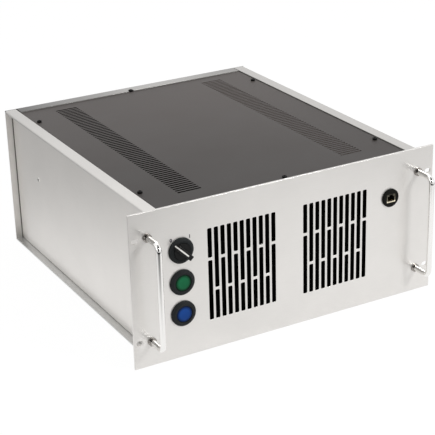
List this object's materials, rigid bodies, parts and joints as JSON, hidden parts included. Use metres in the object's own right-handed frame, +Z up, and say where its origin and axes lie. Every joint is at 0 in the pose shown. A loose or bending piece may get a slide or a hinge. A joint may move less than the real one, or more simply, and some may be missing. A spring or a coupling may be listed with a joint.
{
  "type": "rack-mount fuel cell power unit",
  "caption": "Rack-mount fuel cell unit with slotted front panel, side handles, selector, push buttons, vented cover, cooling fans and an inner stack of cells.",
  "frame": {"origin": "centre of the four rack slots, on the rear (mounting) face of the front panel", "axes": "+X to the right seen from the front, +Y from the front to the back, +Z up"},
  "size_m": [0.4826, 0.545, 0.2214],
  "materials": {
    "panel_silver": "satin anodised",
    "handle_silver": "satin anodised",
    "zinc_steel": "bright zinc",
    "cover_grey": "matt grey paint",
    "screw_black": "black oxide",
    "control_black": "satin black",
    "lens_green": "gloss",
    "lens_blue": "gloss",
    "socket_metal": "nickel plated",
    "filter_foam": "open foam",
    "fan_black": "matt",
    "graphite": "matt graphite",
    "membrane": "matt",
    "copper": "bare copper",
    "insulator": "matt",
    "end_plate": "machined",
    "fitting_brass": "machined",
    "valve_metal": "machined",
    "tube_steel": "bright",
    "board_green": "solder mask"
  },
  "bodies": {
    "case": {"air_duct": "panel_silver", "bipolar_plates": "graphite", "bottom_plate": "panel_silver", "bulkhead_nuts": "fitting_brass", "busbars": "copper", "contact_blocks": "control_black", "control_bezels": "control_black", "control_board": "board_green", "converter": "end_plate", "cover_screws": "screw_black", "current_collectors": "copper", "end_plate_left": "end_plate", "end_plate_right": "end_plate", "fan_frame_left": "fan_black", "fan_frame_right": "fan_black", "fan_plate": "panel_silver", "fan_screws": "zinc_steel", "filter_mats": "filter_foam", "floor_nuts": "zinc_steel", "front_crossbar": "panel_silver", "front_panel": "panel_silver", "gas_bracket": "panel_silver", "gas_tubes": "tube_steel", "handle_collars": "zinc_steel", "handle_left": "handle_silver", "handle_right": "handle_silver", "handle_screws": "zinc_steel", "hydrogen_inlet": "fitting_brass", "insulator_plates": "insulator", "lock_nuts": "control_black", "membranes": "membrane", "network_flange": "control_black", "network_jack": "socket_metal", "output_terminals": "fitting_brass", "panel_nuts": "zinc_steel", "pressure_regulator": "valve_metal", "purge_outlet": "fitting_brass", "purge_valve": "valve_metal", "rear_panel": "panel_silver", "rear_screws": "zinc_steel", "rod_nuts": "zinc_steel", "side_braces": "panel_silver", "side_plate_left": "panel_silver", "side_plate_right": "panel_silver", "side_rivets": "zinc_steel", "stack_bolts": "zinc_steel", "stack_feet": "panel_silver", "standoffs": "insulator", "supply_valve": "valve_metal", "terminal_bushes": "insulator", "tie_rods": "zinc_steel", "top_cover": "cover_grey", "top_rail_left": "panel_silver", "top_rail_right": "panel_silver"},
    "selector": {"selector_knob": "control_black"},
    "green_push": {"green_button": "lens_green"},
    "blue_push": {"blue_button": "lens_blue"},
    "fan_left": {"fan_rotor_left": "fan_black"},
    "fan_right": {"fan_rotor_right": "fan_black"}
  },
  "joints": [
    {"name": "selector_turn", "type": "hinge", "parent": "case", "child": "selector", "pos_m": [-0.1672, 0, 0.0458], "axis": [0, 1, 0], "range_deg": [0, 90]},
    {"name": "green_press", "type": "slide", "parent": "case", "child": "green_push", "axis": [0, 1, 0], "range_m": [0, 0.0025], "stiffness_N_per_m": 800, "springref_m": -0.001},
    {"name": "blue_press", "type": "slide", "parent": "case", "child": "blue_push", "axis": [0, 1, 0], "range_m": [0, 0.0025], "stiffness_N_per_m": 800, "springref_m": -0.001},
    {"name": "fan_left_spin", "type": "hinge", "parent": "case", "child": "fan_left", "pos_m": [-0.0747, 0.03, 0], "axis": [0, 1, 0], "continuous": true},
    {"name": "fan_right_spin", "type": "hinge", "parent": "case", "child": "fan_right", "pos_m": [0.0747, 0.03, 0], "axis": [0, 1, 0], "continuous": true}
  ]
}
